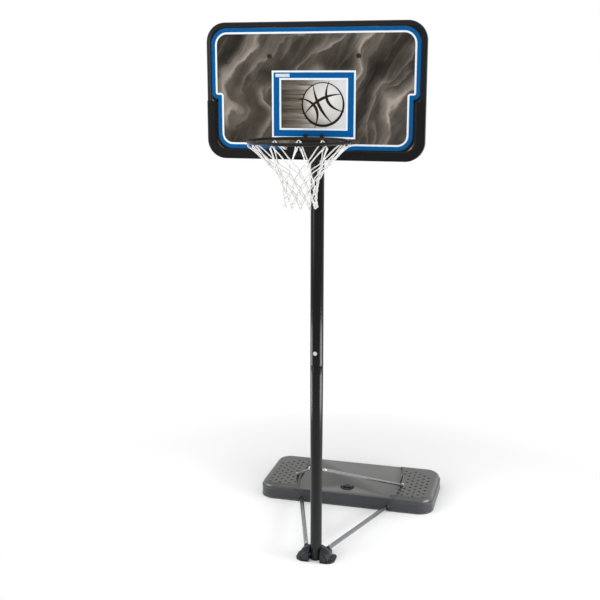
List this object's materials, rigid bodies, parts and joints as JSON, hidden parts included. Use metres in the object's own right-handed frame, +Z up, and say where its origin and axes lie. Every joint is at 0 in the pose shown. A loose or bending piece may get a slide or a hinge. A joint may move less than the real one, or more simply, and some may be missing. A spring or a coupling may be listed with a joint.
{
  "type": "portable basketball hoop",
  "caption": "Portable basketball hoop: framed backboard, rim and net on a telescoping pole with a wheeled foot, braced by struts to a fillable base tank.",
  "frame": {"origin": "on the ground, under the pole's axis, at the underside of the pole's foot plug", "axes": "+Z up along the pole, +X to the right of a player who faces the board, +Y away from the court towards the base tank"},
  "size_m": [1.105, 1.8297, 2.8697],
  "materials": {
    "tank_plastic": "blow-moulded, fine matt texture",
    "water_fill": "clear water, hidden inside the tank",
    "black_plastic": "satin moulded black",
    "seal_rubber": "soft black rubber",
    "foot_plastic": "moulded dark grey, matt",
    "wheel_plastic": "hard black plastic",
    "zinc_steel": "bright zinc plated",
    "pole_paint": "gloss black powder coat",
    "bush_plastic": "natural nylon",
    "strut_steel": "silver grey powder coat",
    "frame_plastic": "satin moulded black",
    "panel_sheet": "smoky clear sheet, printed border and target lines",
    "pad_foam": "soft moulded black foam skin",
    "bracket_paint": "satin black paint",
    "black_steel": "black oxide",
    "rim_paint": "dark bronze black powder coat",
    "net_cord": "white braided cord"
  },
  "bodies": {
    "stand": {"base_tank": "tank_plastic", "ballast": "water_fill", "wheel_carriage": "foot_plastic", "wheel_axle": "zinc_steel", "axle_caps": "black_plastic", "pole_foot": "black_plastic", "lower_pole": "pole_paint", "middle_pole": "pole_paint", "guide_bush_top": "bush_plastic", "lower_strut_left": "strut_steel", "lower_strut_right": "strut_steel", "strut_sleeves": "black_plastic", "foot_bolts": "zinc_steel", "upper_strut_left": "strut_steel", "upper_strut_right": "strut_steel", "pole_strut_bolt": "zinc_steel", "base_bolts": "zinc_steel", "base_nuts": "zinc_steel"},
    "head": {"upper_pole": "pole_paint", "pole_cap": "black_plastic", "guide_bush_bottom": "black_plastic", "height_bolt": "zinc_steel", "height_knob": "black_plastic", "board_frame": "frame_plastic", "board_panel": "panel_sheet", "edge_pad": "pad_foam", "board_crossbar": "bracket_paint", "crossbar_bolts": "black_steel", "crossbar_nuts": "zinc_steel", "pole_clamp": "zinc_steel", "clamp_nuts": "zinc_steel", "board_bracket": "bracket_paint", "bracket_bolt": "zinc_steel", "bracket_nut": "zinc_steel", "rim_bracket": "rim_paint", "rim_brace": "rim_paint", "rim_ring": "rim_paint", "rim_bolts": "black_steel", "rim_nuts": "zinc_steel", "net_hooks": "rim_paint", "net": "net_cord"},
    "cap": {"fill_cap": "black_plastic", "cap_seal": "seal_rubber"},
    "wheel_left": {"wheel_left": "wheel_plastic"},
    "wheel_right": {"wheel_right": "wheel_plastic"}
  },
  "joints": [
    {"name": "height_slide", "type": "slide", "parent": "stand", "child": "head", "axis": [0, 0, 1], "range_m": [0, 0.762]},
    {"name": "cap_lift", "type": "slide", "parent": "stand", "child": "cap", "axis": [0, 0, 1], "range_m": [0, 0.06]},
    {"name": "wheel_left_spin", "type": "hinge", "parent": "stand", "child": "wheel_left", "pos_m": [-0.052, -0.011, 0.028], "axis": [1, 0, 0], "continuous": true},
    {"name": "wheel_right_spin", "type": "hinge", "parent": "stand", "child": "wheel_right", "pos_m": [0.052, -0.011, 0.028], "axis": [1, 0, 0], "continuous": true}
  ]
}
